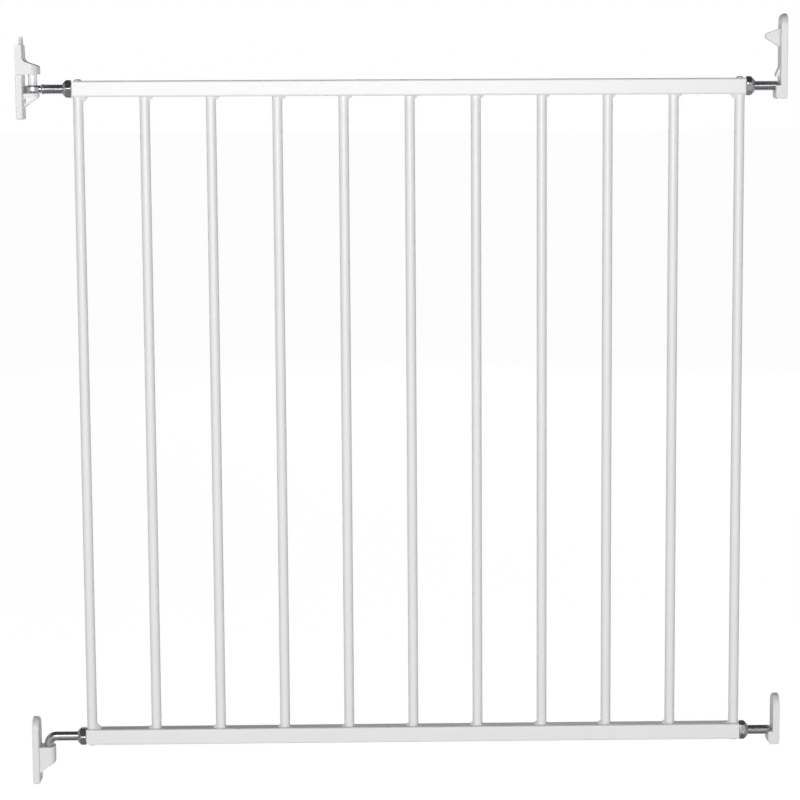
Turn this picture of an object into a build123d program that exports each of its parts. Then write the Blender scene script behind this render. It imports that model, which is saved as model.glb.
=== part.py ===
from build123d import *
import math
import os

# Wall-mounted child safety gate: a welded steel panel that hangs on two hinge brackets and drops into
# two open latch cradles. Millimetres. X runs across the opening from the hinge wall to the latch wall,
# -Y is the front, Z is up. The origin is under the middle of the opening, at the lowest bracket's end.

# ---------------------------------------------------------------- driving dimensions
OPENING = 762.0            # wall to wall, at the setting that is modelled
HINGE_GAP = 54.0           # hinge wall to the rails' ends
LATCH_GAP = 40.0           # latch wall to the rails' ends
LOWER_AXIS_Z = 47.5        # height of the lower spindles
RAIL_SPACING = 656.0       # lower spindles to upper spindles

RAIL_SIZE = 16.0           # square tube, over its flats
RAIL_WALL = 1.2
RAIL_CORNER = 2.0
BAR_COUNT = 11             # round bars, with the two end bars
BAR_RADIUS = 5.0
BAR_WALL = 1.0
END_BAR_INSET = 6.0        # rail end to the middle of an end bar

HINGE_HEAD = 5.0           # heads of the threaded inserts in the rails' ends
LATCH_HEAD = 2.0
HINGE_CROWN = (4.6, 7.4)   # length and drop of the crown on a head's outer side
LATCH_CROWN = (1.6, 2.4)
INSERT_LENGTH = 20.0
INSERT_SIZE = 13.2
THREAD_RADIUS = 4.9        # M10 thread over its crests
SHANK_RADIUS = 4.6         # plain shank of the lower spindles
RUNNING_GAP = 0.05         # radial clearance of everything that turns or slides on a round
SPINDLE_IN_RAIL = 45.0
SPINDLE_CHAMFER = 1.0
NUT_FLATS = 17.0
NUT_HEIGHT = 8.4
NUT_TURNS = {"upper_hinge": 34, "upper_latch": 9, "lower_hinge": 34, "lower_latch": 44}

PLATE_WIDTH = 24.0         # depth of the brackets, along Y
PLATE_THICK = 6.8
SCREW_RADIUS = 2.25        # clearance hole for a 4 mm countersunk screw
SCREW_HEAD_RADIUS = 4.3

HINGE_AXIS = 15.6          # hinge wall to the swing axis
EYE_RADIUS = 8.2
EYE_HEIGHT = 7.4
PIN_RADIUS = 4.5
BEND_RADIUS = 7.5          # centre line of the lower spindle's right-angle bend

CRADLE_REACH = 11.3        # latch wall to the nose of a cradle
CRADLE_TOP = 0.3           # heights below are measured from the spindle's axis
CRADLE_BOTTOM = -12.9
GROOVE_RADIUS = 5.3
TIP_GAP = 8.3              # latch wall to the tips of the latch spindles

# ---------------------------------------------------------------- places worked out from them
HINGE_WALL = -OPENING / 2
LATCH_WALL = OPENING / 2
RAIL_LEFT = HINGE_WALL + HINGE_GAP
RAIL_RIGHT = LATCH_WALL - LATCH_GAP
UPPER_AXIS_Z = LOWER_AXIS_Z + RAIL_SPACING
BAR_PITCH = (RAIL_RIGHT - RAIL_LEFT - 2 * END_BAR_INSET) / (BAR_COUNT - 1)
BAR_PLACES = [RAIL_LEFT + END_BAR_INSET + i * BAR_PITCH for i in range(BAR_COUNT)]


# ---------------------------------------------------------------- helpers
def rod(x0, x1, radius, z=0.0, y=0.0):
    """Solid round rod along X."""
    return Pos((x0 + x1) / 2, y, z) * Rot(0, 90, 0) * Cylinder(radius, abs(x1 - x0))


def block(x0, x1, y0, y1, z0, z1):
    """Box between two corners."""
    return Pos((x0 + x1) / 2, (y0 + y1) / 2, (z0 + z1) / 2) * Box(x1 - x0, y1 - y0, z1 - z0)


def side_profile(points, half_width):
    """Closed outline in X and Z, given depth to both sides of Y = 0."""
    face = make_face(Polyline([(x, 0, z) for x, z in points], close=True))
    return extrude(face, amount=half_width, dir=(0, 1, 0), both=True)


def stood_up(face, half_width):
    """Face drawn flat, stood up in X and Z and given depth to both sides of Y = 0."""
    return Rot(90, 0, 0) * extrude(face, amount=half_width, both=True)


def along_y(shape):
    """Edges of a shape that run parallel to Y."""
    return shape.edges().filter_by(Axis.Y)


def upright(shape):
    """Edges of a shape that run parallel to Z."""
    return shape.edges().filter_by(Axis.Z)


def edges_at(edges, axis, place):
    """Those edges whose middle lies at a place along an axis."""
    near = 0.01
    return edges.filter_by_position(axis, place - near, place + near)


def on_hinge_wall(shape, z):
    """Puts a shape drawn from the wall outwards on the hinge wall, at a spindle's height."""
    return Pos(HINGE_WALL, 0, z) * shape


def on_latch_wall(shape, z):
    """The same on the latch wall, turned to face the gate."""
    return Pos(LATCH_WALL, 0, z) * mirror(shape, about=Plane.YZ)


# ---------------------------------------------------------------- the welded panel
def rail(z):
    """Square tube, open at both ends, shorter than the panel by its inserts' heads."""
    length = RAIL_RIGHT - RAIL_LEFT - HINGE_HEAD - LATCH_HEAD
    inner = RAIL_SIZE - 2 * RAIL_WALL
    section = RectangleRounded(RAIL_SIZE, RAIL_SIZE, RAIL_CORNER)
    section -= RectangleRounded(inner, inner, RAIL_CORNER - RAIL_WALL)
    tube = extrude(Plane.YZ * section, amount=length)
    return Pos(RAIL_LEFT + HINGE_HEAD, 0, z) * tube


def bar(x):
    """Round tube that butts against the inner faces of both rails."""
    length = RAIL_SPACING - RAIL_SIZE
    tube = Cylinder(BAR_RADIUS, length) - Cylinder(BAR_RADIUS - BAR_WALL, length)
    return Pos(x, 0, (LOWER_AXIS_Z + UPPER_AXIS_Z) / 2) * tube


def insert_head(length, crown, away_from_bar):
    """Head that closes a rail's end, crowned on the side away from the bar and rounded elsewhere."""
    half = RAIL_SIZE / 2
    edge = 1.7
    crown_length, crown_drop = crown
    head = block(0, length, -half, half, -half, half)
    head = fillet(edges_at(head.edges(), Axis.X, 0).sort_by(Axis.Z)[:3], edge)
    head &= extrude(Plane.YZ * RectangleRounded(RAIL_SIZE, RAIL_SIZE, RAIL_CORNER), amount=length)
    pull = 0.55            # makes the curve a quarter of an ellipse
    start, end = (0, half - crown_drop), (crown_length, half)
    curve = Bezier(start, (0, half - (1 - pull) * crown_drop), ((1 - pull) * crown_length, half), end)
    surround = Polyline([start, (-1, half - crown_drop), (-1, half + 1), (crown_length, half + 1), end])
    head -= stood_up(make_face([curve, surround]), half + 1)
    return head if away_from_bar > 0 else mirror(head, about=Plane.XY)


def rail_insert(x_end, head_length, crown, inwards, z):
    """Threaded plug in a rail end, with the head that closes the tube."""
    plug_corner = 1.0
    head = insert_head(head_length, crown, 1 if z == UPPER_AXIS_Z else -1)
    plug = extrude(Plane.YZ * RectangleRounded(INSERT_SIZE, INSERT_SIZE, plug_corner), amount=INSERT_LENGTH)
    bore = rod(-1, head_length + INSERT_LENGTH + 1, THREAD_RADIUS + RUNNING_GAP)
    insert = head + Pos(head_length, 0, 0) * plug - bore
    if inwards < 0:
        insert = mirror(insert, about=Plane.YZ)
    return Pos(x_end, 0, z) * insert


def weld_ring(x, z, upwards):
    """Fillet weld round a bar where it meets a rail, kept inside the rail's end."""
    leg = 1.8
    end_margin = 0.4
    outline = [(BAR_RADIUS, 0, 0), (BAR_RADIUS + leg, 0, 0), (BAR_RADIUS, 0, leg)]
    ring = revolve(make_face(Polyline(outline, close=True)), Axis.Z)
    if not upwards:
        ring = mirror(ring, about=Plane.XY)
    room = block(RAIL_LEFT + end_margin, RAIL_RIGHT - end_margin, -RAIL_SIZE, RAIL_SIZE, z - leg, z + leg)
    return Pos(x, 0, z) * ring & room


def weld_button(x, z, upwards):
    """Low dome of weld on the outside of a rail, over an end bar."""
    radius, height = 3.3, 1.6
    ball = (radius**2 + height**2) / (2 * height)
    dome = Pos(0, 0, height - ball) * Sphere(ball) & block(-radius, radius, -radius, radius, 0, height)
    if not upwards:
        dome = mirror(dome, about=Plane.XY)
    return Pos(x, 0, z) * dome


def rail_welds(z, upwards):
    """All the weld of one rail: a ring at each bar and a button over each end bar."""
    side = 1 if upwards else -1
    rings = [weld_ring(x, z + side * RAIL_SIZE / 2, upwards) for x in BAR_PLACES]
    buttons = [weld_button(x, z - side * RAIL_SIZE / 2, not upwards) for x in (BAR_PLACES[0], BAR_PLACES[-1])]
    return Compound(children=rings + buttons)


# ---------------------------------------------------------------- spindles and their nuts
def upper_hinge_spindle():
    """Threaded rod whose flattened end is an eye that turns on the upper hinge pin."""
    neck_start, neck_end = 6.5, 10.5
    neck_radius = 3.5
    far_end = HINGE_GAP - HINGE_AXIS + SPINDLE_IN_RAIL
    eye = Cylinder(EYE_RADIUS, EYE_HEIGHT)
    eye = fillet(eye.edges(), 1.0)
    outline = [(neck_start, 0, 0), (neck_start, 0, neck_radius), (neck_end, 0, THREAD_RADIUS)]
    outline += [(far_end - SPINDLE_CHAMFER, 0, THREAD_RADIUS), (far_end, 0, THREAD_RADIUS - SPINDLE_CHAMFER)]
    outline += [(far_end, 0, 0)]
    stem = revolve(make_face(Polyline(outline, close=True)), Axis.X)
    spindle = eye + stem - Cylinder(PIN_RADIUS + RUNNING_GAP, 2 * EYE_HEIGHT)
    return on_hinge_wall(Pos(HINGE_AXIS, 0, 0) * spindle, UPPER_AXIS_Z)


def lower_hinge_spindle():
    """Rod bent down at a right angle: its plain leg turns and slides in the socket's bush."""
    leg_end = -22.5
    tip_chamfer = 1.2
    thread_start = HINGE_GAP - HINGE_AXIS - NUT_HEIGHT - 1.0
    far_end = HINGE_GAP - HINGE_AXIS + SPINDLE_IN_RAIL
    leg = Pos(0, 0, (leg_end - BEND_RADIUS) / 2) * Cylinder(SHANK_RADIUS, -BEND_RADIUS - leg_end)
    leg = chamfer(leg.edges().sort_by(Axis.Z)[0], tip_chamfer)
    section = Plane((0, 0, -BEND_RADIUS)) * Circle(SHANK_RADIUS)
    bend = revolve(section, Axis((BEND_RADIUS, 0, -BEND_RADIUS), (0, 1, 0)), 90)
    shank = rod(BEND_RADIUS, thread_start, SHANK_RADIUS)
    thread = rod(thread_start, far_end, THREAD_RADIUS)
    thread = chamfer(thread.edges().sort_by(Axis.X)[-1], SPINDLE_CHAMFER)
    return on_hinge_wall(Pos(HINGE_AXIS, 0, 0) * (leg + bend + shank + thread), LOWER_AXIS_Z)


def latch_spindle(z, exposed_radius):
    """Straight rod that drops into a cradle; the stretch outside the nut has its own radius."""
    nut_face = LATCH_GAP - NUT_HEIGHT - 1.0
    outer = rod(TIP_GAP, nut_face, exposed_radius)
    outer = chamfer(outer.edges().sort_by(Axis.X)[0], SPINDLE_CHAMFER)
    inner = rod(nut_face, LATCH_GAP + SPINDLE_IN_RAIL, THREAD_RADIUS)
    inner = chamfer(inner.edges().sort_by(Axis.X)[-1], SPINDLE_CHAMFER)
    return on_latch_wall(outer + inner, z)


def lock_nut(x_rail_end, outwards, z, turn):
    """Hexagon nut that locks a spindle against the rail's end, with a coned outer end."""
    seat_gap = 0.05
    seat_chamfer, seat_depth = 1.0, 0.5
    cone_radius, shoulder_radius = 5.9, 8.6
    shoulder, cone_start = NUT_HEIGHT - 2.4, NUT_HEIGHT - 4.3
    corner_radius = NUT_FLATS / math.sqrt(3)
    outline = [(0, 0, 0), (corner_radius - seat_chamfer, 0, 0), (corner_radius, 0, seat_depth)]
    outline += [(corner_radius, 0, cone_start), (shoulder_radius, 0, shoulder), (cone_radius, 0, NUT_HEIGHT)]
    outline += [(0, 0, NUT_HEIGHT)]
    envelope = revolve(make_face(Polyline(outline, close=True)), Axis.Z)
    blank = extrude(RegularPolygon(corner_radius, 6, rotation=turn), amount=NUT_HEIGHT)
    bore = Cylinder(THREAD_RADIUS + RUNNING_GAP, 3 * NUT_HEIGHT)
    nut = Rot(0, 90 * outwards, 0) * ((blank & envelope) - bore)
    return Pos(x_rail_end + outwards * seat_gap, 0, z) * nut


# ---------------------------------------------------------------- bracket building blocks
def wall_plate(z_low, z_high, top_corner, bottom_corner):
    """Upright plate with its back on the wall, rounded in outline and softened front and back."""
    front_edge, back_edge = 1.9, 0.8
    top_round, top_back_round, bottom_round = 4.6, 1.8, 1.9
    centre = (z_low + z_high) / 2
    height = z_high - z_low
    face = Plane.YZ * Pos(0, centre) * Rectangle(PLATE_WIDTH, height)
    face = fillet(face.vertices().sort_by(Axis.Z)[2:], top_corner)
    face = fillet(face.vertices().sort_by(Axis.Z)[:2], bottom_corner)
    plate = extrude(face, amount=PLATE_THICK)
    plate = fillet(plate.faces().sort_by(Axis.X)[-1].edges(), front_edge)
    plate = fillet(plate.faces().sort_by(Axis.X)[0].edges(), back_edge)
    side = Pos(PLATE_THICK / 2, centre) * Rectangle(PLATE_THICK, height)
    side = fillet(side.vertices().sort_by(Axis.Y)[:2], bottom_round)
    top_corners = side.vertices().sort_by(Axis.Y)[-2:].sort_by(Axis.X)
    side = fillet(top_corners[1], top_round)
    side = fillet(side.vertices().filter_by_position(Axis.X, -0.01, 0.01).sort_by(Axis.Y)[-1], top_back_round)
    return plate & stood_up(side, PLATE_WIDTH)


def screw_hole(z, face_at=PLATE_THICK):
    """Cutter for a countersunk screw hole through a plate or web whose face is that far from the wall."""
    sink_depth = SCREW_HEAD_RADIUS - SCREW_RADIUS
    outline = [(-1, 0, 0), (-1, 0, SCREW_RADIUS), (face_at - sink_depth, 0, SCREW_RADIUS)]
    outline += [(face_at, 0, SCREW_HEAD_RADIUS), (face_at + 2, 0, SCREW_HEAD_RADIUS), (face_at + 2, 0, 0)]
    return Pos(0, 0, z) * revolve(make_face(Polyline(outline, close=True)), Axis.X)


# ---------------------------------------------------------------- hinge side
HINGE_SEAM = 13.9          # top of the plate proper, where the lock starts
TONGUE_TOP = 42.0
NECK_FACE = 1.8            # wall to the back of the tongue's crown
NECK_HALF = 5.5
TONGUE_FACE = 3.6
TONGUE_HALF = 9.0
GUIDE_GAP = 0.3            # clearance between the tongue and the lock
UPPER_HINGE_SCREWS = (-21.0, 32.0)
LOWER_HINGE_SCREWS = (-40.0, 4.0)


def shelf_gusset():
    """Slanted strut under the shelf, with a triangular opening between it, the shelf and the plate."""
    half = 5.0
    shelf_under, plate_face = -7.0, 6.0
    rib = [(plate_face, shelf_under), (20.5, shelf_under), (20.5, -8.6), (9.0, -16.4), (plate_face, -18.6)]
    opening = [(7.9, -9.4), (14.6, -9.4), (7.9, -13.9)]
    return side_profile(rib, half) - side_profile(opening, half + 1)


def upper_hinge_bracket():
    """Plate with the shelf that carries the eye, and a T-shaped tongue that guides the lock."""
    shelf_top, shelf_bottom = -4.0, -7.9
    shelf_half, shelf_edge = 6.6, 0.8
    bottom_corner = 2.5
    plate = wall_plate(-29.8, HINGE_SEAM + PLATE_THICK, 0.6, bottom_corner)
    plate &= block(-1, 2 * PLATE_THICK, -PLATE_WIDTH, PLATE_WIDTH, -50, HINGE_SEAM)
    shelf = block(5, HINGE_AXIS, -shelf_half, shelf_half, shelf_bottom, shelf_top)
    shelf += Pos(HINGE_AXIS, 0, (shelf_top + shelf_bottom) / 2) * Cylinder(shelf_half, shelf_top - shelf_bottom)
    shelf = fillet(shelf.faces().sort_by(Axis.Z)[-1].edges().filter_by_position(Axis.X, 6, 30), shelf_edge)
    neck = block(0, NECK_FACE, -NECK_HALF, NECK_HALF, HINGE_SEAM - 1, TONGUE_TOP)
    crown = block(NECK_FACE - 0.2, TONGUE_FACE, -TONGUE_HALF, TONGUE_HALF, HINGE_SEAM - 1, TONGUE_TOP)
    bracket = plate + shelf + shelf_gusset() + neck + crown
    bracket -= Pos(HINGE_AXIS, 0, shelf_bottom) * Cylinder(PIN_RADIUS + RUNNING_GAP, 20)
    bracket -= screw_hole(UPPER_HINGE_SCREWS[0])
    bracket -= screw_hole(UPPER_HINGE_SCREWS[1], TONGUE_FACE)
    return on_hinge_wall(bracket, UPPER_AXIS_Z)


def lock_channel(bottom, top):
    """Cutter for the lock's channel: the tongue's shape with a clearance round it."""
    crown_half, neck_half = TONGUE_HALF + GUIDE_GAP, NECK_HALF + GUIDE_GAP
    crown_back = NECK_FACE - 0.2 - GUIDE_GAP
    channel = block(crown_back, TONGUE_FACE + GUIDE_GAP, -crown_half, crown_half, bottom - 1, top)
    return channel + block(-1, crown_back, -neck_half, neck_half, bottom - 1, top)


def lock_grip(base, top):
    """Grip on top of the lock, tapered towards its end in depth and in thickness."""
    grip = side_profile([(3.3, base), (6.6, base), (6.2, top), (4.0, top)], 7.0)
    sides = [(-7.0, base), (7.0, base), (4.6, top), (-4.6, top)]
    outline = make_face(Polyline([(0, y, z) for y, z in sides], close=True))
    grip &= extrude(outline, amount=10, dir=(1, 0, 0))
    return fillet(edges_at(grip.edges(), Axis.Z, top), 0.8)


def upper_hinge_lock():
    """Sliding lock: a channel round the tongue, an arm over the eye and a tapered grip on top."""
    half = 14.0
    back, front, root = 0.3, 6.7, 7.2
    bottom, top = HINGE_SEAM + GUIDE_GAP, 43.3
    nose, underside, nose_top = 22.7, 14.5, 22.3
    shoulder_round, nose_round, plan_round, edge = 4.0, 3.2, 9.0, 0.8
    outline = [(back, bottom), (front, bottom), (front, underside), (nose, underside), (nose, nose_top)]
    outline += [(9.4, 26.8), (root, 29.6), (front, top), (back, top)]
    body = side_profile(outline, half)
    body = fillet(edges_at(along_y(body), Axis.X, 9.4), shoulder_round)
    body = fillet(edges_at(along_y(body), Axis.X, nose).sort_by(Axis.Z)[-1], nose_round)
    plan = Pos(nose / 2, 0, 0) * Rectangle(nose, 2 * half)
    plan = fillet(plan.vertices().sort_by(Axis.X)[2:], plan_round)
    body &= extrude(plan, amount=top)
    body = fillet(edges_at(along_y(body), Axis.Z, top), edge)
    pin_hole = Pos(HINGE_AXIS, 0, underside) * Cylinder(PIN_RADIUS, 12)
    lock = body - lock_channel(bottom, TONGUE_TOP + GUIDE_GAP) + lock_grip(top - 0.6, 51.1) - pin_hole
    return on_hinge_wall(lock, UPPER_AXIS_Z)


def upper_hinge_pin():
    """Pin that the eye turns on: fixed in the lock's arm, it drops through the eye into the shelf."""
    top, bottom = 20.5, -7.6
    pin = Pos(HINGE_AXIS, 0, (top + bottom) / 2) * Cylinder(PIN_RADIUS, top - bottom)
    pin = chamfer(pin.edges().sort_by(Axis.Z)[0], 0.8)
    return on_hinge_wall(pin, UPPER_AXIS_Z)


SOCKET_TOP = -9.5
BUSH_RADIUS = 5.3
BUSH_BOTTOM = -23.8


def lower_hinge_bracket():
    """Plate with the blind socket that holds the lower spindle's bush."""
    nose, half = 22.0, 9.3
    upright_edge, rim = 5.5, 0.6
    plate = wall_plate(-LOWER_AXIS_Z, 20.7, PLATE_WIDTH / 2 - 0.1, 2.5)
    outline = [(5, SOCKET_TOP), (nose, SOCKET_TOP), (nose, -25.9), (7.0, -35.9), (5, -35.9)]
    boss = side_profile(outline, half)
    boss = fillet(edges_at(upright(boss), Axis.X, nose), upright_edge)
    boss = fillet(edges_at(boss.edges(), Axis.Z, SOCKET_TOP).filter_by_position(Axis.X, 6, 30), rim)
    floor_gap = 0.2
    bore_bottom = BUSH_BOTTOM - floor_gap
    bore = Pos(HINGE_AXIS, 0, (SOCKET_TOP + 1 + bore_bottom) / 2)
    bore *= Cylinder(BUSH_RADIUS + RUNNING_GAP, SOCKET_TOP + 1 - bore_bottom)
    bracket = plate + boss - bore
    for z in LOWER_HINGE_SCREWS:
        bracket -= screw_hole(z)
    return on_hinge_wall(bracket, LOWER_AXIS_Z)


def lower_hinge_bush():
    """Cup that lines the socket, flush with its rim, and turns with the spindle's leg."""
    floor, rim, recess = 0.8, 0.25, 0.2
    top = SOCKET_TOP - recess
    cup = Pos(0, 0, (top + BUSH_BOTTOM) / 2) * Cylinder(BUSH_RADIUS, top - BUSH_BOTTOM)
    cup = fillet(cup.edges().filter_by(GeomType.CIRCLE).sort_by(Axis.Z)[-1], rim)
    bore_bottom = BUSH_BOTTOM + floor
    bore = Pos(0, 0, (top + 1 + bore_bottom) / 2) * Cylinder(SHANK_RADIUS + RUNNING_GAP, top + 1 - bore_bottom)
    return on_hinge_wall(Pos(HINGE_AXIS, 0, 0) * (cup - bore), LOWER_AXIS_Z)


# ---------------------------------------------------------------- latch side
UPPER_LATCH_SCREWS = (4.0, 61.5)
LOWER_LATCH_SCREWS = (4.0, 27.5)
LEVER_PIVOT = (3.6, 46.0)  # latch wall to the pivot, and its height
LEVER_PIN_RADIUS = 1.5
LEVER_HALF = 6.0
LEVER_SLOT_HALF = 6.3
WEB_FACE = 3.5             # the thin web behind the end of a spindle
WEB_TOP = 8.3


def latch_plate(top, screws, recess_half, recess_top):
    """Wall plate with an open-topped cradle for a spindle and the recess behind the spindle's tip."""
    nose_corner, edge = 3.0, 0.8
    plate = wall_plate(CRADLE_BOTTOM, top, PLATE_WIDTH / 2 - 0.1, 2.0)
    cradle = block(4, CRADLE_REACH, -PLATE_WIDTH / 2, PLATE_WIDTH / 2, CRADLE_BOTTOM, CRADLE_TOP)
    cradle = fillet(edges_at(along_y(cradle), Axis.X, CRADLE_REACH).sort_by(Axis.Z)[0], nose_corner)
    cradle = fillet(edges_at(cradle.edges(), Axis.X, CRADLE_REACH), edge)
    groove = rod(WEB_FACE, CRADLE_REACH + 1, GROOVE_RADIUS)
    groove += block(WEB_FACE, CRADLE_REACH + 1, -GROOVE_RADIUS, GROOVE_RADIUS, 0, CRADLE_TOP + 1)
    recess = block(WEB_FACE, PLATE_THICK + 1, -recess_half, recess_half, CRADLE_TOP, recess_top)
    bracket = plate + cradle - groove - recess
    return bracket - screw_hole(screws[0], WEB_FACE) - screw_hole(screws[1])


def upper_latch_bracket():
    """Latch plate with the long slot and the cross pin's holes for the latch lever."""
    slot_top = 58.0
    bracket = latch_plate(70.8, UPPER_LATCH_SCREWS, LEVER_SLOT_HALF, WEB_TOP)
    bracket -= block(-1, PLATE_THICK + 1, -LEVER_SLOT_HALF, LEVER_SLOT_HALF, WEB_TOP, slot_top)
    bracket -= lever_cross_pin(LEVER_PIN_RADIUS)
    return on_latch_wall(bracket, UPPER_AXIS_Z)


def lever_cross_pin(radius):
    """Round along Y through the lever's pivot."""
    length = 19.0
    return Pos(LEVER_PIVOT[0], 0, LEVER_PIVOT[1]) * Rot(90, 0, 0) * Cylinder(radius, length)


def latch_lever():
    """Bell crank: a thumb wedge above, an arm down the slot and a lip that stops the spindle rising."""
    pivot_x, pivot_z = LEVER_PIVOT
    arm_back, lip_tip, lip_z = 4.7, 10.5, 9.1
    wedge_half, wedge_tip = 4.0, 20.9
    hub_radius, spring_room, spring_half = 3.2, 3.4, 2.3
    arm = side_profile([(arm_back, lip_z), (lip_tip, lip_z), (lip_tip, 11.6), (PLATE_THICK, 19.7),
                        (PLATE_THICK, 44.0), (arm_back, 44.0)], LEVER_HALF)
    arm = fillet(edges_at(along_y(arm), Axis.X, lip_tip).sort_by(Axis.Z)[-1], 1.2)
    hub = Pos(pivot_x, 0, pivot_z) * Rot(90, 0, 0) * Cylinder(hub_radius, 2 * LEVER_HALF)
    wedge = side_profile([(pivot_x, 38.3), (PLATE_THICK, 38.3), (wedge_tip, 46.7), (wedge_tip, 51.0),
                          (PLATE_THICK, 56.3), (pivot_x, 56.3)], wedge_half)
    wedge = fillet(edges_at(along_y(wedge), Axis.X, wedge_tip), 2.4)
    wedge = fillet(wedge.edges().filter_by_position(Axis.X, PLATE_THICK + 1, 25), 0.5)
    lever = arm + hub + wedge
    lever -= lever_cross_pin(LEVER_PIN_RADIUS + RUNNING_GAP)
    room = Pos(pivot_x, 0, pivot_z) * Rot(90, 0, 0) * Cylinder(spring_room, 2 * spring_half)
    return on_latch_wall(lever - room, UPPER_AXIS_Z)


def latch_lever_spring():
    """Torsion spring wound on the cross pin, with one leg down the arm and one on the plate."""
    wire, coil_radius, pitch, turns = 0.35, 2.5, 0.85, 3
    length = pitch * turns
    path = Helix(pitch, length, coil_radius)
    coil = sweep(Plane(path @ 0, z_dir=path % 0) * Circle(wire), path=path, is_frenet=True)
    coil = Rot(90, 0, 0) * Pos(0, 0, -length / 2) * coil
    return on_latch_wall(Pos(LEVER_PIVOT[0], 0, LEVER_PIVOT[1]) * coil, UPPER_AXIS_Z)


def latch_lever_pin():
    """Cross pin pressed into the plate."""
    return on_latch_wall(lever_cross_pin(LEVER_PIN_RADIUS), UPPER_AXIS_Z)


def lower_latch_bracket():
    """Latch plate with only its cradle."""
    return on_latch_wall(latch_plate(38.1, LOWER_LATCH_SCREWS, GROOVE_RADIUS, 9.8), LOWER_AXIS_Z)


# ---------------------------------------------------------------- the whole gate
def build():
    """Every sub-part by its node name."""
    nodes = {
        "top_rail": rail(UPPER_AXIS_Z),
        "bottom_rail": rail(LOWER_AXIS_Z),
        "top_rail_welds": rail_welds(UPPER_AXIS_Z, upwards=False),
        "bottom_rail_welds": rail_welds(LOWER_AXIS_Z, upwards=True),
        "hinge_side_bar": bar(BAR_PLACES[0]),
        "latch_side_bar": bar(BAR_PLACES[-1]),
        "upper_hinge_spindle": upper_hinge_spindle(),
        "lower_hinge_spindle": lower_hinge_spindle(),
        "upper_latch_spindle": latch_spindle(UPPER_AXIS_Z, THREAD_RADIUS),
        "lower_latch_spindle": latch_spindle(LOWER_AXIS_Z, SHANK_RADIUS),
        "upper_hinge_bracket": upper_hinge_bracket(),
        "upper_hinge_lock": upper_hinge_lock(),
        "upper_hinge_pin": upper_hinge_pin(),
        "lower_hinge_bracket": lower_hinge_bracket(),
        "lower_hinge_bush": lower_hinge_bush(),
        "upper_latch_bracket": upper_latch_bracket(),
        "lower_latch_bracket": lower_latch_bracket(),
        "latch_lever": latch_lever(),
        "latch_lever_pin": latch_lever_pin(),
        "latch_lever_spring": latch_lever_spring(),
    }
    for i, x in enumerate(BAR_PLACES[1:-1], start=1):
        nodes[f"bar_{i}"] = bar(x)
    for height, z in (("upper", UPPER_AXIS_Z), ("lower", LOWER_AXIS_Z)):
        for side, x_end, inwards, head, crown in (
            ("hinge", RAIL_LEFT, 1, HINGE_HEAD, HINGE_CROWN),
            ("latch", RAIL_RIGHT, -1, LATCH_HEAD, LATCH_CROWN),
        ):
            place = f"{height}_{side}"
            nodes[f"{place}_rail_insert"] = rail_insert(x_end, head, crown, inwards, z)
            nodes[f"{place}_lock_nut"] = lock_nut(x_end, -inwards, z, NUT_TURNS[place])
    return nodes


os.makedirs("parts", exist_ok=True)
for name, shape in build().items():
    export_step(shape, f"parts/{name}.step")
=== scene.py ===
import math

import bpy
from mathutils import Matrix, Vector


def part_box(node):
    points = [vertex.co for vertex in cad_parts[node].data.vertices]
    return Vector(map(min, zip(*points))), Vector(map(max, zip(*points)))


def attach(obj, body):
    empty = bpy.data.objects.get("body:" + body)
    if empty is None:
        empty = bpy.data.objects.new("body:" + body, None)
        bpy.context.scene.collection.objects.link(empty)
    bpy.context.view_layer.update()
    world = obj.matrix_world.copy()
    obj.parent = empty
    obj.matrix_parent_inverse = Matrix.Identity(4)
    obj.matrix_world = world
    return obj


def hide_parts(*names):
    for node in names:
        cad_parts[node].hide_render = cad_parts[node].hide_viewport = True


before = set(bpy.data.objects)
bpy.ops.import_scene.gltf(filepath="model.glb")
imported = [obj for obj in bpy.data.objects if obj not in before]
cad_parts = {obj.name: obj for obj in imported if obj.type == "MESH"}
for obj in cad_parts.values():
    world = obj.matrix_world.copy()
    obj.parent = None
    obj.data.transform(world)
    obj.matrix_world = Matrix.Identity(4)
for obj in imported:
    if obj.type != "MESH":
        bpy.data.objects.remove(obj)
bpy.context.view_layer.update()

# The looks of a wall-mounted child safety gate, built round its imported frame. Metres.
# X runs from the hinge wall to the latch wall, -Y is the front, Z is up.
MM = 0.001
MICRON = 0.000001

# ---------------------------------------------------------------- places, read from the frame
TOP_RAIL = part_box("top_rail")
BOTTOM_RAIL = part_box("bottom_rail")
RAIL_HALF = (TOP_RAIL[1].z - TOP_RAIL[0].z) / 2
UPPER_AXIS_Z = (TOP_RAIL[0].z + TOP_RAIL[1].z) / 2
LOWER_AXIS_Z = (BOTTOM_RAIL[0].z + BOTTOM_RAIL[1].z) / 2
BARS = ["hinge_side_bar"] + [f"bar_{i}" for i in range(1, 10)] + ["latch_side_bar"]
BAR_PLACES = [(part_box(name)[0].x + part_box(name)[1].x) / 2 for name in BARS]
BAR_RADIUS = (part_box("bar_1")[1].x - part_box("bar_1")[0].x) / 2
RAIL_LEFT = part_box("upper_hinge_rail_insert")[0].x
RAIL_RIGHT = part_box("upper_latch_rail_insert")[1].x
HINGE_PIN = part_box("upper_hinge_pin")
HINGE_AXIS_X = (HINGE_PIN[0].x + HINGE_PIN[1].x) / 2

# ---------------------------------------------------------------- hardware sizes
RAIL_CORNER = 2.0 * MM
THREAD_RADIUS = 4.9 * MM
THREAD_PITCH = 1.5 * MM
THREAD_DEPTH = 0.85 * MM
SHANK_RADIUS = 4.6 * MM      # of a rod where it has no thread
ROD_CHAMFER = 1.0 * MM
NUT_FLATS = 17.0 * MM
RUNNING_GAP = 0.05 * MM      # radial clearance of an eye or a nut


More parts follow.
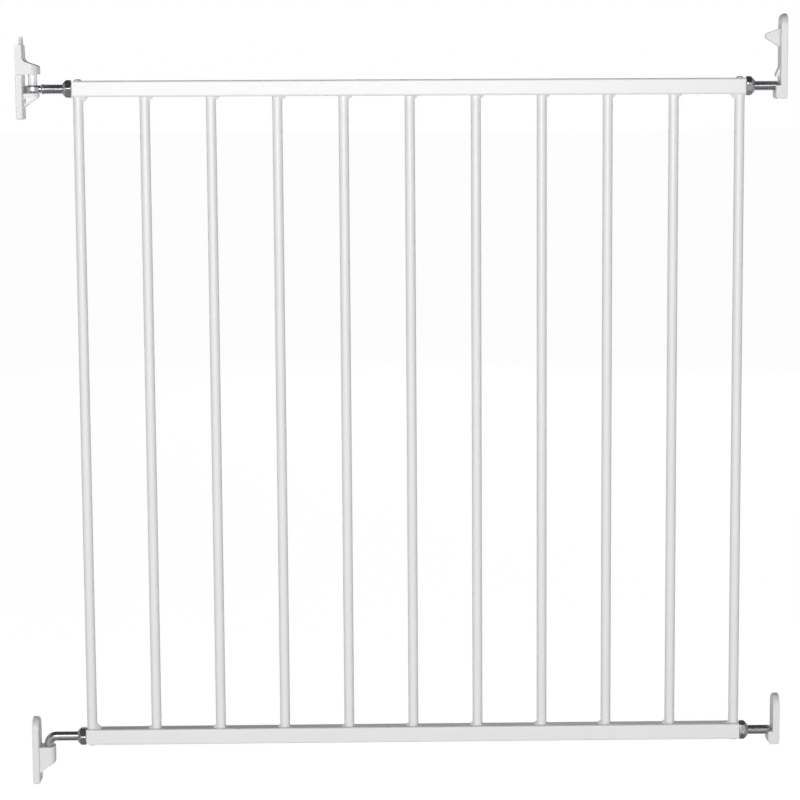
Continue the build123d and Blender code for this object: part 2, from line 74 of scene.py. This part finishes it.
# ---------------------------------------------------------------- mesh helpers
def piece_from(name, vertices, faces, body, material, slot, replaced):
    """A smooth-shaded mesh piece that rides on a body and stands for CAD nodes."""
    mesh = bpy.data.meshes.new(name)
    mesh.from_pydata(vertices, [], faces)
    mesh.polygons.foreach_set("use_smooth", [True] * len(mesh.polygons))
    mesh.update()
    mesh.set_sharp_from_angle(angle=math.radians(40))
    piece = bpy.data.objects.new(name, mesh)
    bpy.context.scene.collection.objects.link(piece)
    mesh.materials.append(material)
    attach(piece, body)
    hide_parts(*replaced)
    return piece


def skin(rings, closed_ends=(True, True)):
    """Faces between rings of equally many points, with a flat face on each closed end."""
    count = len(rings[0])
    vertices = [point for ring in rings for point in ring]
    faces = []
    for i in range(len(rings) - 1):
        for j in range(count):
            k = (j + 1) % count
            faces.append((i * count + j, (i + 1) * count + j, (i + 1) * count + k, i * count + k))
    if closed_ends[0]:
        faces.append(tuple(range(count)))
    if closed_ends[1]:
        last = (len(rings) - 1) * count
        faces.append(tuple(last + j for j in reversed(range(count))))
    return vertices, faces


def together(*parts):
    """Several (vertices, faces) pairs as one."""
    vertices, faces = [], []
    for more_vertices, more_faces in parts:
        start = len(vertices)
        vertices += more_vertices
        faces += [tuple(start + i for i in face) for face in more_faces]
    return vertices, faces


def smoothstep(low, high, value):
    """0 below low, 1 above high and a soft S between them."""
    t = min(1.0, max(0.0, (value - low) / (high - low)))
    return t * t * (3 - 2 * t)


# ---------------------------------------------------------------- materials
class Finish:
    """A Principled material with a few procedural layers, in the piece's own space."""

    def __init__(self, name, roughness, metallic=0.0):
        self.material = bpy.data.materials.new(name)
        self.material.use_nodes = True
        self.tree = self.material.node_tree
        self.shader = self.tree.nodes["Principled BSDF"]
        self.shader.inputs["Roughness"].default_value = roughness
        self.shader.inputs["Metallic"].default_value = metallic
        self.place = self.tree.nodes.new("ShaderNodeTexCoord").outputs["Object"]
        self.relief = None

    def stretched(self, x, y, z):
        """The piece's coordinates, drawn out to make streaks."""
        node = self.tree.nodes.new("ShaderNodeMapping")
        node.inputs["Scale"].default_value = (x, y, z)
        self.tree.links.new(self.place, node.inputs["Vector"])
        return node.outputs["Vector"]

    def noise(self, per_metre, detail, place=None):
        """Soft noise with about that many swells to the metre."""
        node = self.tree.nodes.new("ShaderNodeTexNoise")
        node.inputs["Scale"].default_value = per_metre
        node.inputs["Detail"].default_value = detail
        self.tree.links.new(place or self.place, node.inputs["Vector"])
        return node.outputs["Fac"]

    def between(self, value, low, high, start=0.3, end=0.7):
        """A value of start to end, carried over to low to high."""
        node = self.tree.nodes.new("ShaderNodeMapRange")
        for name, number in (("From Min", start), ("From Max", end), ("To Min", low), ("To Max", high)):
            node.inputs[name].default_value = number
        self.tree.links.new(value, node.inputs["Value"])
        return node.outputs["Result"]

    def tint(self, value, dark, light):
        """Base colour that goes from dark to light with a value."""
        node = self.tree.nodes.new("ShaderNodeMix")
        node.data_type = "RGBA"
        colours = [socket for socket in node.inputs if socket.type == "RGBA"]
        colours[0].default_value = (*dark, 1)
        colours[1].default_value = (*light, 1)
        self.tree.links.new(value, node.inputs["Factor"])
        result = [socket for socket in node.outputs if socket.type == "RGBA"][0]
        self.tree.links.new(result, self.shader.inputs["Base Color"])

    def rough(self, value, low, high):
        """Roughness that goes from low to high with a value."""
        self.tree.links.new(self.between(value, low, high), self.shader.inputs["Roughness"])

    def bump(self, value, height, strength):
        """Adds a layer of relief of that height in metres, over the layers before it."""
        node = self.tree.nodes.new("ShaderNodeBump")
        node.inputs["Distance"].default_value = height
        node.inputs["Strength"].default_value = strength
        self.tree.links.new(value, node.inputs["Height"])
        if self.relief is not None:
            self.tree.links.new(self.relief, node.inputs["Normal"])
        self.relief = node.outputs["Normal"]
        self.tree.links.new(self.relief, self.shader.inputs["Normal"])


def powder_coat():
    """White satin powder coat: orange peel, fine grain and a slight unevenness of tone."""
    finish = Finish("powder_coat", roughness=0.36)
    finish.tint(finish.noise(14, detail=3), (0.775, 0.780, 0.785), (0.815, 0.818, 0.820))
    finish.rough(finish.noise(260, detail=3), 0.31, 0.41)
    finish.bump(finish.noise(620, detail=1), 50 * MICRON, 0.5)
    finish.bump(finish.noise(2600, detail=2), 10 * MICRON, 0.4)
    finish.shader.inputs["Coat Weight"].default_value = 0.15
    finish.shader.inputs["Coat Roughness"].default_value = 0.22
    return finish.material


def moulded_plastic(name, dark, light, roughness, grain):
    """Injection-moulded white plastic: faint flow marks, shallow sinks and a spark-eroded grain."""
    finish = Finish(name, roughness=roughness)
    finish.tint(finish.noise(40, detail=3), dark, light)
    finish.rough(finish.noise(900, detail=3), roughness - 0.06, roughness + 0.07)
    finish.bump(finish.noise(90, detail=1), 120 * MICRON, 0.35)
    finish.bump(finish.noise(grain, detail=2), 18 * MICRON, 0.6)
    finish.shader.inputs["Subsurface Weight"].default_value = 0.06
    finish.shader.inputs["Subsurface Radius"].default_value = (0.6 * MM, 0.55 * MM, 0.5 * MM)
    finish.shader.inputs["Subsurface Scale"].default_value = 1.0
    return finish.material


def zinc_steel():
    """Blue-passivated zinc plate: cloudy tone, fine spangle and rolling streaks."""
    finish = Finish("zinc_steel", roughness=0.2, metallic=1.0)
    finish.tint(finish.noise(330, detail=4), (0.56, 0.58, 0.62), (0.74, 0.76, 0.79))
    finish.rough(finish.noise(700, detail=4), 0.15, 0.26)
    finish.bump(finish.noise(1400, detail=3), 6 * MICRON, 0.5)
    streaks = finish.noise(240, detail=2, place=finish.stretched(0.15, 1, 1))
    finish.bump(streaks, 12 * MICRON, 0.4)
    return finish.material


def spring_steel():
    """Bright drawn spring wire, a little darker than the zinc."""
    finish = Finish("spring_steel", roughness=0.3, metallic=1.0)
    finish.tint(finish.noise(900, detail=3), (0.38, 0.38, 0.39), (0.56, 0.56, 0.57))
    finish.rough(finish.noise(2000, detail=2), 0.24, 0.38)
    finish.bump(finish.noise(3000, detail=2), 10 * MICRON, 0.5)
    return finish.material


MATERIALS = {
    "powder_coat": powder_coat(),
    "bracket_plastic": moulded_plastic("bracket_plastic", dark=(0.75, 0.755, 0.75), light=(0.79, 0.79, 0.785),
                                       roughness=0.42, grain=2600),
    "pin_plastic": moulded_plastic("pin_plastic", dark=(0.80, 0.80, 0.79), light=(0.84, 0.84, 0.83),
                                   roughness=0.30, grain=3800),
    "bush_plastic": moulded_plastic("bush_plastic", dark=(0.72, 0.72, 0.70), light=(0.77, 0.77, 0.75),
                                    roughness=0.36, grain=3800),
    "zinc_steel": zinc_steel(),
    "spring_steel": spring_steel(),
}


def finish_frame():
    """Gives every CAD node the material of its slot in the record."""
    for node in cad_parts.values():
        for material_slot in node.material_slots:
            plain = material_slot.material.name.split(".")[0]
            material_slot.material = MATERIALS[plain]


# ---------------------------------------------------------------- threaded rods
RING_POINTS = 48
THREAD_STEP = THREAD_PITCH / 10
PLAIN_STEP = 1.5 * MM


def thread_fall(along, angle):
    """How far the thread's surface lies below its crests: flat crests and roots with sloped flanks."""
    crest, root = 0.14, 0.20      # shares of half a pitch
    turn = (along / THREAD_PITCH + angle / math.tau) % 1.0
    away = abs(2 * turn - 1)
    return THREAD_DEPTH * smoothstep(crest, 1 - root, away)


def ring_at(centre, outwards, radius_at):
    """Points round a rod whose axis lies in the XZ plane; angle 0 points outwards, a quarter turn +Y."""
    ring = []
    for j in range(RING_POINTS):
        angle = math.tau * j / RING_POINTS
        radius = radius_at(angle)
        ring.append(centre + radius * (math.cos(angle) * outwards + math.sin(angle) * Vector((0, 1, 0))))
    return ring


def straight_run(x0, x1, z, radius, step):
    """Stations along X, no further apart than the step.

    A station is a centre, an outward direction, a place along the rod and a plain radius.
    """
    count = max(1, math.ceil(abs(x1 - x0) / step))
    places = [x0 + (x1 - x0) * i / count for i in range(count + 1)]
    return [(Vector((x, 0, z)), Vector((0, 0, 1)), x, radius) for x in places]


def threaded_rings(stations, thread_from, thread_to, run_out):
    """Rings of a rod that carries a thread between two places, faded in and out over the run-out."""
    rings = []
    for centre, outwards, along, radius in stations:
        depth = smoothstep(thread_from, thread_from + run_out, along)
        depth *= 1 - smoothstep(thread_to - run_out, thread_to, along)
        rings.append(ring_at(centre, outwards, lambda angle: radius - depth * thread_fall(along, angle)))
    return rings


def tip(rings, axis, chamfer):
    """A chamfered end in front of the first ring; the axis points into the rod."""
    centre = sum(rings[0], Vector()) / len(rings[0])
    shrunk = 1 - chamfer / THREAD_RADIUS
    return [centre + (point - centre) * shrunk - axis * chamfer for point in rings[0]]


def flipped(part):
    """The same faces seen from the other side."""
    vertices, faces = part
    return vertices, [tuple(reversed(face)) for face in faces]


def latch_spindle(height, z, threaded):
    """Straight latch-side rod; the lower one is plain outside its nut."""
    node = f"{height}_latch_spindle"
    low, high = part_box(node)
    nut_outer_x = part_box(f"{height}_latch_lock_nut")[1].x
    outside_radius = THREAD_RADIUS if threaded else SHANK_RADIUS
    outside_step = THREAD_STEP if threaded else PLAIN_STEP
    thread_to = high.x - 0.4 * MM if threaded else nut_outer_x + 0.2 * MM
    stations = straight_run(low.x + ROD_CHAMFER, nut_outer_x, z, THREAD_RADIUS, THREAD_STEP)
    stations += straight_run(nut_outer_x + THREAD_STEP, high.x - ROD_CHAMFER, z, outside_radius, outside_step)
    rings = threaded_rings(stations, low.x, thread_to, run_out=0.8 * MM)
    rings.insert(0, tip(rings, Vector((1, 0, 0)), ROD_CHAMFER))
    rings.append(tip(rings[::-1], Vector((-1, 0, 0)), ROD_CHAMFER))
    vertices, faces = skin(rings)
    piece_from(f"{height}_latch_rod", vertices, faces, "latch_spindles", MATERIALS["zinc_steel"],
               "zinc_steel", [node])


def lower_hinge_spindle():
    """Rod bent down at a right angle into the lower socket, plain up to its nut."""
    node = "lower_hinge_spindle"
    low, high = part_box(node)
    nut_outer_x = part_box("lower_hinge_lock_nut")[0].x
    foot_chamfer = 1.2 * MM
    bend_radius = 7.5 * MM
    bend_steps = 28
    bend_centre = Vector((HINGE_AXIS_X + bend_radius, 0, LOWER_AXIS_Z - bend_radius))
    stations = []
    for z in (low.z + foot_chamfer, bend_centre.z):
        stations.append((Vector((HINGE_AXIS_X, 0, z)), Vector((-1, 0, 0)), HINGE_AXIS_X, SHANK_RADIUS))
    for i in range(1, bend_steps + 1):
        turn = math.pi / 2 * i / bend_steps
        outwards = Vector((-math.cos(turn), 0, math.sin(turn)))
        stations.append((bend_centre + outwards * bend_radius, outwards, HINGE_AXIS_X, SHANK_RADIUS))
    plain_from, plain_to = bend_centre.x + MM, nut_outer_x - THREAD_STEP
    stations += straight_run(plain_from, plain_to, LOWER_AXIS_Z, SHANK_RADIUS, PLAIN_STEP)
    stations += straight_run(nut_outer_x, high.x - ROD_CHAMFER, LOWER_AXIS_Z, THREAD_RADIUS, THREAD_STEP)
    rings = threaded_rings(stations, nut_outer_x, high.x, run_out=0.8 * MM)
    rings.insert(0, tip(rings, Vector((0, 0, 1)), foot_chamfer))
    rings.append(tip(rings[::-1], Vector((-1, 0, 0)), ROD_CHAMFER))
    vertices, faces = skin(rings)
    piece_from("lower_hinge_rod", vertices, faces, "hinge_spindles", MATERIALS["zinc_steel"],
               "zinc_steel", [node])


def squared(value):
    """A sine or cosine moved towards 1 or -1, which squares up the round that it draws."""
    return math.copysign(abs(value) ** 0.62, value)


def eye_ring(centre, outer, inner, half_height):
    """Forged eye: a ring round Z with a barrelled outside and a countersunk bore."""
    around, barrel_steps = 96, 16
    countersink = 0.5 * MM
    half_wall = (outer - inner) / 2
    profile = []
    for i in range(barrel_steps + 1):
        turn = math.pi * (i / barrel_steps - 0.5)
        radius = outer - half_wall + half_wall * squared(math.cos(turn))
        profile.append((radius, half_height * squared(math.sin(turn))))
    profile += [(inner + countersink, half_height), (inner, half_height - countersink)]
    profile += [(inner, countersink - half_height), (inner + countersink, -half_height)]
    rings = []
    for i in range(around + 1):
        angle = math.tau * i / around
        outwards = Vector((math.cos(angle), math.sin(angle), 0))
        rings.append([centre + outwards * radius + Vector((0, 0, z)) for radius, z in profile])
    return skin(rings, closed_ends=(False, False))


def upper_hinge_spindle():
    """Threaded rod whose flattened end is the eye that turns on the upper pin."""
    node = "upper_hinge_spindle"
    low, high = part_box(node)
    eye_radius = HINGE_AXIS_X - low.x
    bore_radius = (HINGE_PIN[1].x - HINGE_PIN[0].x) / 2 + RUNNING_GAP
    eye_centre = Vector((HINGE_AXIS_X, 0, UPPER_AXIS_Z))
    eye = eye_ring(eye_centre, eye_radius, bore_radius, half_height=3.7 * MM)
    neck_radius, neck_steps = 3.4 * MM, 14
    neck_start, neck_end = HINGE_AXIS_X + 6.5 * MM, HINGE_AXIS_X + 10.2 * MM
    stations = []
    for i in range(neck_steps):
        share = i / neck_steps
        radius = neck_radius + (THREAD_RADIUS - neck_radius) * smoothstep(0, 1, share)
        x = neck_start + (neck_end - neck_start) * share
        stations.append((Vector((x, 0, UPPER_AXIS_Z)), Vector((0, 0, 1)), x, radius))
    stations += straight_run(neck_end, high.x - ROD_CHAMFER, UPPER_AXIS_Z, THREAD_RADIUS, THREAD_STEP)
    rings = threaded_rings(stations, neck_end, high.x, run_out=1.2 * MM)
    rings.append(tip(rings[::-1], Vector((-1, 0, 0)), ROD_CHAMFER))
    vertices, faces = together(eye, skin(rings))
    piece_from("upper_hinge_rod", vertices, faces, "hinge_spindles", MATERIALS["zinc_steel"],
               "zinc_steel", [node])


# ---------------------------------------------------------------- lock nuts
def lock_nut(place, corner_angle):
    """Hexagon nut with a coned outer end; the angle of one corner is from the front towards the top."""
    node = f"{place}_lock_nut"
    low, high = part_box(node)
    seat, outer = (high.x, low.x) if "hinge" in place else (low.x, high.x)
    direction = 1 if outer > seat else -1
    height = abs(outer - seat)
    axis_z = UPPER_AXIS_Z if place.startswith("upper") else LOWER_AXIS_Z
    sides, points_per_side = 6, 12
    corner = NUT_FLATS / math.sqrt(3)
    corner_round = 0.25 * MM
    seat_chamfer, seat_slope = 0.5 * MM, 2.2
    cone_height, cone_radius, cone_steps = 4.3 * MM, 5.9 * MM, 16
    cone_bulge = 1.25
    bore = THREAD_RADIUS + RUNNING_GAP
    seat_countersink, outer_countersink = 0.6 * MM, 0.4 * MM

    def hexagon(angle):
        """Distance from the axis to the flats, with slightly rounded corners."""
        off = (angle + math.pi / sides) % (math.tau / sides) - math.pi / sides
        flat = NUT_FLATS / 2 / math.cos(math.pi / sides - abs(off))
        return min(flat, corner - corner_round)

    def limit(along):
        """Largest radius at a distance from the seat: a small chamfer, full size and then the cone."""
        if along < seat_chamfer:
            return corner - (seat_chamfer - along) * seat_slope
        over = along - (height - cone_height)
        if over <= 0:
            return corner
        return corner - (corner - cone_radius) * (over / cone_height) ** cone_bulge

    def ring(along, radius_at):
        """Points round the nut at a distance from the seat."""
        points = []
        for j in range(sides * points_per_side):
            angle = math.tau * j / (sides * points_per_side)
            radius = radius_at(angle)
            turned = angle + math.radians(corner_angle)
            y, up = -math.cos(turned), math.sin(turned)
            points.append(Vector((seat + direction * along, radius * y, axis_z + radius * up)))
        return points

    straight = height - cone_height - seat_chamfer
    places = [seat_chamfer * share for share in (0, 0.3, 0.6, 1)]
    places += [seat_chamfer + straight * share for share in (0.5, 1)]
    places += [height - cone_height * (1 - i / cone_steps) for i in range(1, cone_steps + 1)]
    rings = [ring(seat_countersink, lambda angle: bore), ring(0, lambda angle: bore + seat_countersink)]
    rings += [ring(along, lambda angle: min(hexagon(angle), limit(along))) for along in places]
    rings.append(ring(height, lambda angle: bore + outer_countersink))
    rings.append(ring(height - outer_countersink, lambda angle: bore))
    rings.append([point.copy() for point in rings[0]])
    part = skin(rings, closed_ends=(False, False))
    if direction > 0:
        part = flipped(part)
    piece_from(f"{place}_nut", *part, f"{place}_nut", MATERIALS["zinc_steel"], "zinc_steel", [node])


# ---------------------------------------------------------------- welds
def rail_dip(y):
    """How far a rail's face falls away over its rounded corner."""
    over = abs(y) - (RAIL_HALF - RAIL_CORNER)
    if over <= 0:
        return 0.0
    over = min(over, RAIL_CORNER)
    return RAIL_CORNER - math.sqrt(RAIL_CORNER ** 2 - over ** 2)


def bead(x, face_z, up, side, along_leg, up_leg, spread, ring_leg):
    """Weld round a bar's end: a thin ring, drawn out on one side where the torch finished."""
    around, across = 72, 8
    narrow = 0.55                 # the ring's width at the rail's sides, as a share of its leg
    ripples, ripple = 9, 0.06
    bulge = 0.10
    inside_bar = 0.3 * MM
    edge_sink = 0.15 * MM
    end_room = 0.3 * MM           # kept free at the rail's ends
    finish_angle = 0 if side > 0 else math.pi
    rings = []
    for i in range(around):
        angle = math.tau * i / around
        off = abs((angle - finish_angle + math.pi) % math.tau - math.pi)
        drawn = math.exp(-((off / spread) ** 2))
        uneven = 1 + ripple * math.sin(ripples * angle + 3 * math.sin(2 * angle + x * 90))
        width = narrow + (1 - narrow) * abs(math.cos(angle))
        out = (ring_leg * width + (along_leg - ring_leg) * drawn) * uneven
        rise = (ring_leg + (up_leg - ring_leg) * drawn) * uneven
        points = []
        for k in range(across + 1):
            t = k / across
            full = bulge * math.sin(math.pi * t)
            r = BAR_RADIUS - inside_bar + (out + inside_bar) * (t + full * 0.3)
            h = rise * (1 - t) + full * min(out, rise) * 0.9
            px = min(max(x + r * math.cos(angle), RAIL_LEFT + end_room), RAIL_RIGHT - end_room)
            py = r * math.sin(angle)
            points.append(Vector((px, py, face_z + up * (h - rail_dip(py) * t - edge_sink * t))))
        rings.append(points)
    vertices = [point for ring in rings for point in ring]
    count = across + 1
    faces = []
    for i in range(around):
        for k in range(across):
            a, b = i * count + k, ((i + 1) % around) * count + k
            faces.append((a, a + 1, b + 1, b) if up > 0 else (a, b, b + 1, a + 1))
    return vertices, faces


def button(x, face_z, up):
    """Low cushion of weld outside a rail, over an end bar; it is wider across the rail than along it."""
    half_length, half_width, height = 3.6 * MM, 6.3 * MM, 1.6 * MM
    around, across = 48, 9
    side_fullness, top_fullness = 0.7, 0.9
    uneven = 0.03
    edge_sink = 0.1 * MM
    rings = []
    for k in range(across):
        turn = math.pi / 2 * k / across
        spread = math.cos(turn) ** side_fullness
        rise = math.sin(turn) ** top_fullness
        ring = []
        for i in range(around):
            angle = math.tau * i / around
            wobble = 1 + uneven * math.sin(2 * angle + x * 40)
            px = x + half_length * spread * wobble * math.cos(angle)
            py = half_width * spread * wobble * math.sin(angle)
            above = height * rise - rail_dip(py) - edge_sink * (1 - rise)
            ring.append(Vector((px, py, face_z + up * above)))
        rings.append(ring)
    part = skin(rings, closed_ends=(False, True))
    return flipped(part) if up > 0 else part


def welds(rail, face_z, up):
    """Every weld of one rail.

    The beads are drawn out inwards on the end bars. On the bars between them they are drawn out
    to the right on the top rail and to the left on the bottom rail.
    """
    parts = []
    last = len(BAR_PLACES) - 1
    for i, x in enumerate(BAR_PLACES):
        if i in (0, last):
            inwards = 1 if i == 0 else -1
            small = rail == "bottom_rail" and i == last
            along_leg, up_leg = (2.4 * MM, 3.6 * MM) if small else (4.7 * MM, 5.0 * MM)
            parts.append(bead(x, face_z, up, inwards, along_leg, up_leg, spread=0.62, ring_leg=0.7 * MM))
            parts.append(button(x, face_z - up * 2 * RAIL_HALF, -up))
        else:
            side = -1 if up > 0 else 1
            size = 1 + 0.12 * math.sin(7.0 * i + (2 if up > 0 else 0))
            along_leg, up_leg = 3.6 * MM * size, 3.2 * MM * size
            parts.append(bead(x, face_z, up, side, along_leg, up_leg, spread=0.55, ring_leg=0.9 * MM))
    vertices, faces = together(*parts)
    piece_from(f"{rail}_beads", vertices, faces, "gate", MATERIALS["powder_coat"], "powder_coat",
               [f"{rail}_welds"])


# ---------------------------------------------------------------- stage, light and camera
def stage():
    """A plain white floor, just under the lowest bracket's end."""
    half, floor_z = 30.0, -2 * MM
    corners = [(-half, -half), (half, -half), (half, half), (-half, half)]
    mesh = bpy.data.meshes.new("floor")
    mesh.from_pydata([(x, y, floor_z) for x, y in corners], [], [(0, 1, 2, 3)])
    floor = bpy.data.objects.new("floor", mesh)
    bpy.context.scene.collection.objects.link(floor)
    material = bpy.data.materials.new("floor_white")
    material.use_nodes = True
    shader = material.node_tree.nodes["Principled BSDF"]
    shader.inputs["Base Color"].default_value = (0.3, 0.3, 0.3, 1)
    shader.inputs["Roughness"].default_value = 0.9
    shader.inputs["Emission Color"].default_value = (1, 1, 1, 1)
    shader.inputs["Emission Strength"].default_value = 0.93
    mesh.materials.append(material)
    floor.visible_diffuse = False
    floor.visible_glossy = False


# Brightness of the surroundings at steps of height, from straight down (-1) to straight up (+1).
MATT_LIGHT = ((-1.0, 0.52), (-0.05, 0.56), (0.18, 0.52), (0.34, 0.12), (1.0, 0.08))
MIRRORED_LIGHT = ((-1.0, 0.14), (-0.75, 0.26), (-0.35, 0.40), (-0.05, 0.58),
                  (0.12, 0.56), (0.34, 0.08), (1.0, 0.06))
CEILING_FROM = 0.3
CEILING_WARMTH = 0.86


def gradient(tree, height, steps):
    """Background whose brightness follows the height of the ray's direction."""
    ramp = tree.nodes.new("ShaderNodeValToRGB")
    tree.links.new(height, ramp.inputs["Fac"])
    stops = ramp.color_ramp.elements
    while len(stops) < len(steps):
        stops.new(1.0)
    for stop, (place, level) in zip(stops, steps):
        warmth = CEILING_WARMTH if place > CEILING_FROM else 1.0
        stop.position = (place + 1) / 2
        stop.color = (level, level * (1 + warmth) / 2, level * warmth, 1)
    background = tree.nodes.new("ShaderNodeBackground")
    tree.links.new(ramp.outputs["Color"], background.inputs["Color"])
    return background.outputs["Background"]


def studio():
    """Light from all round with a dim ceiling, two soft boxes in front and a weak one behind."""
    world = bpy.data.worlds.new("studio")
    bpy.context.scene.world = world
    world.use_nodes = True
    tree = world.node_tree
    tree.nodes.clear()
    direction = tree.nodes.new("ShaderNodeTexCoord")
    split = tree.nodes.new("ShaderNodeSeparateXYZ")
    tree.links.new(direction.outputs["Generated"], split.inputs["Vector"])
    height = tree.nodes.new("ShaderNodeMapRange")
    height.inputs["From Min"].default_value = -1.0
    tree.links.new(split.outputs["Z"], height.inputs["Value"])
    matt = gradient(tree, height.outputs["Result"], MATT_LIGHT)
    mirrored = gradient(tree, height.outputs["Result"], MIRRORED_LIGHT)
    white = tree.nodes.new("ShaderNodeBackground")
    white.inputs["Color"].default_value = (1, 1, 1, 1)
    ray = tree.nodes.new("ShaderNodeLightPath")
    lit = either(tree, ray.outputs["Is Glossy Ray"], matt, mirrored)
    whole = either(tree, ray.outputs["Is Camera Ray"], lit, white.outputs["Background"])
    output = tree.nodes.new("ShaderNodeOutputWorld")
    tree.links.new(whole, output.inputs["Surface"])
    key = soft_box("key", Vector((-0.22, -2.30, 0.50)), Vector((0, 0, 0.36)), 2.6, 1.2, 44)
    key.visible_glossy = False
    glint = soft_box("glint", Vector((-0.20, -1.75, 0.83)), Vector((-0.1, 0, 0.70)), 1.3, 0.62, 12.0)
    glint.visible_diffuse = False
    soft_box("rear_fill", Vector((0.8, 3.4, 1.2)), Vector((0, 0, 0.42)), 2.2, 1.6, 5)


def either(tree, switch, when_off, when_on):
    """One of two backgrounds."""
    mix = tree.nodes.new("ShaderNodeMixShader")
    tree.links.new(switch, mix.inputs["Fac"])
    tree.links.new(when_off, mix.inputs[1])
    tree.links.new(when_on, mix.inputs[2])
    return mix.outputs["Shader"]


def soft_box(name, place, target, width, height, watts):
    """Area light aimed at a target and not seen by the camera itself."""
    light = bpy.data.lights.new(name, "AREA")
    light.shape = "RECTANGLE"
    light.size = width
    light.size_y = height
    light.energy = watts
    holder = bpy.data.objects.new(name, light)
    bpy.context.scene.collection.objects.link(holder)
    holder.location = place
    holder.rotation_mode = "QUATERNION"
    holder.rotation_quaternion = (target - place).to_track_quat("-Z", "Y")
    holder.visible_camera = False
    return holder


def camera():
    """Long lens in front of the gate, a little above the top rail and looking slightly down."""
    place = Vector((-0.013, -2.5153, UPPER_AXIS_Z + 0.0123))
    downwards, to_the_right, roll = math.radians(7.36), math.radians(1.109), math.radians(-0.272)
    level = math.pi / 2
    data = bpy.data.cameras.new("camera")
    data.lens = 113.33
    data.shift_x = -0.05
    data.clip_end = 100
    holder = bpy.data.objects.new("camera", data)
    bpy.context.scene.collection.objects.link(holder)
    turn = Matrix.Rotation(-to_the_right, 4, "Z") @ Matrix.Rotation(level - downwards, 4, "X")
    turn = turn @ Matrix.Rotation(roll, 4, "Z")
    holder.matrix_world = Matrix.Translation(place) @ turn
    bpy.context.scene.camera = holder


# ---------------------------------------------------------------- the whole scene
finish_frame()
upper_hinge_spindle()
lower_hinge_spindle()
latch_spindle("upper", UPPER_AXIS_Z, threaded=True)
latch_spindle("lower", LOWER_AXIS_Z, threaded=False)
lock_nut("upper_hinge", corner_angle=4)
lock_nut("lower_hinge", corner_angle=4)
lock_nut("upper_latch", corner_angle=21)
lock_nut("lower_latch", corner_angle=46)
welds("top_rail", UPPER_AXIS_Z - RAIL_HALF, up=-1)
welds("bottom_rail", LOWER_AXIS_Z + RAIL_HALF, up=1)
stage()
studio()
camera()
bpy.context.scene.view_settings.view_transform = "Standard"
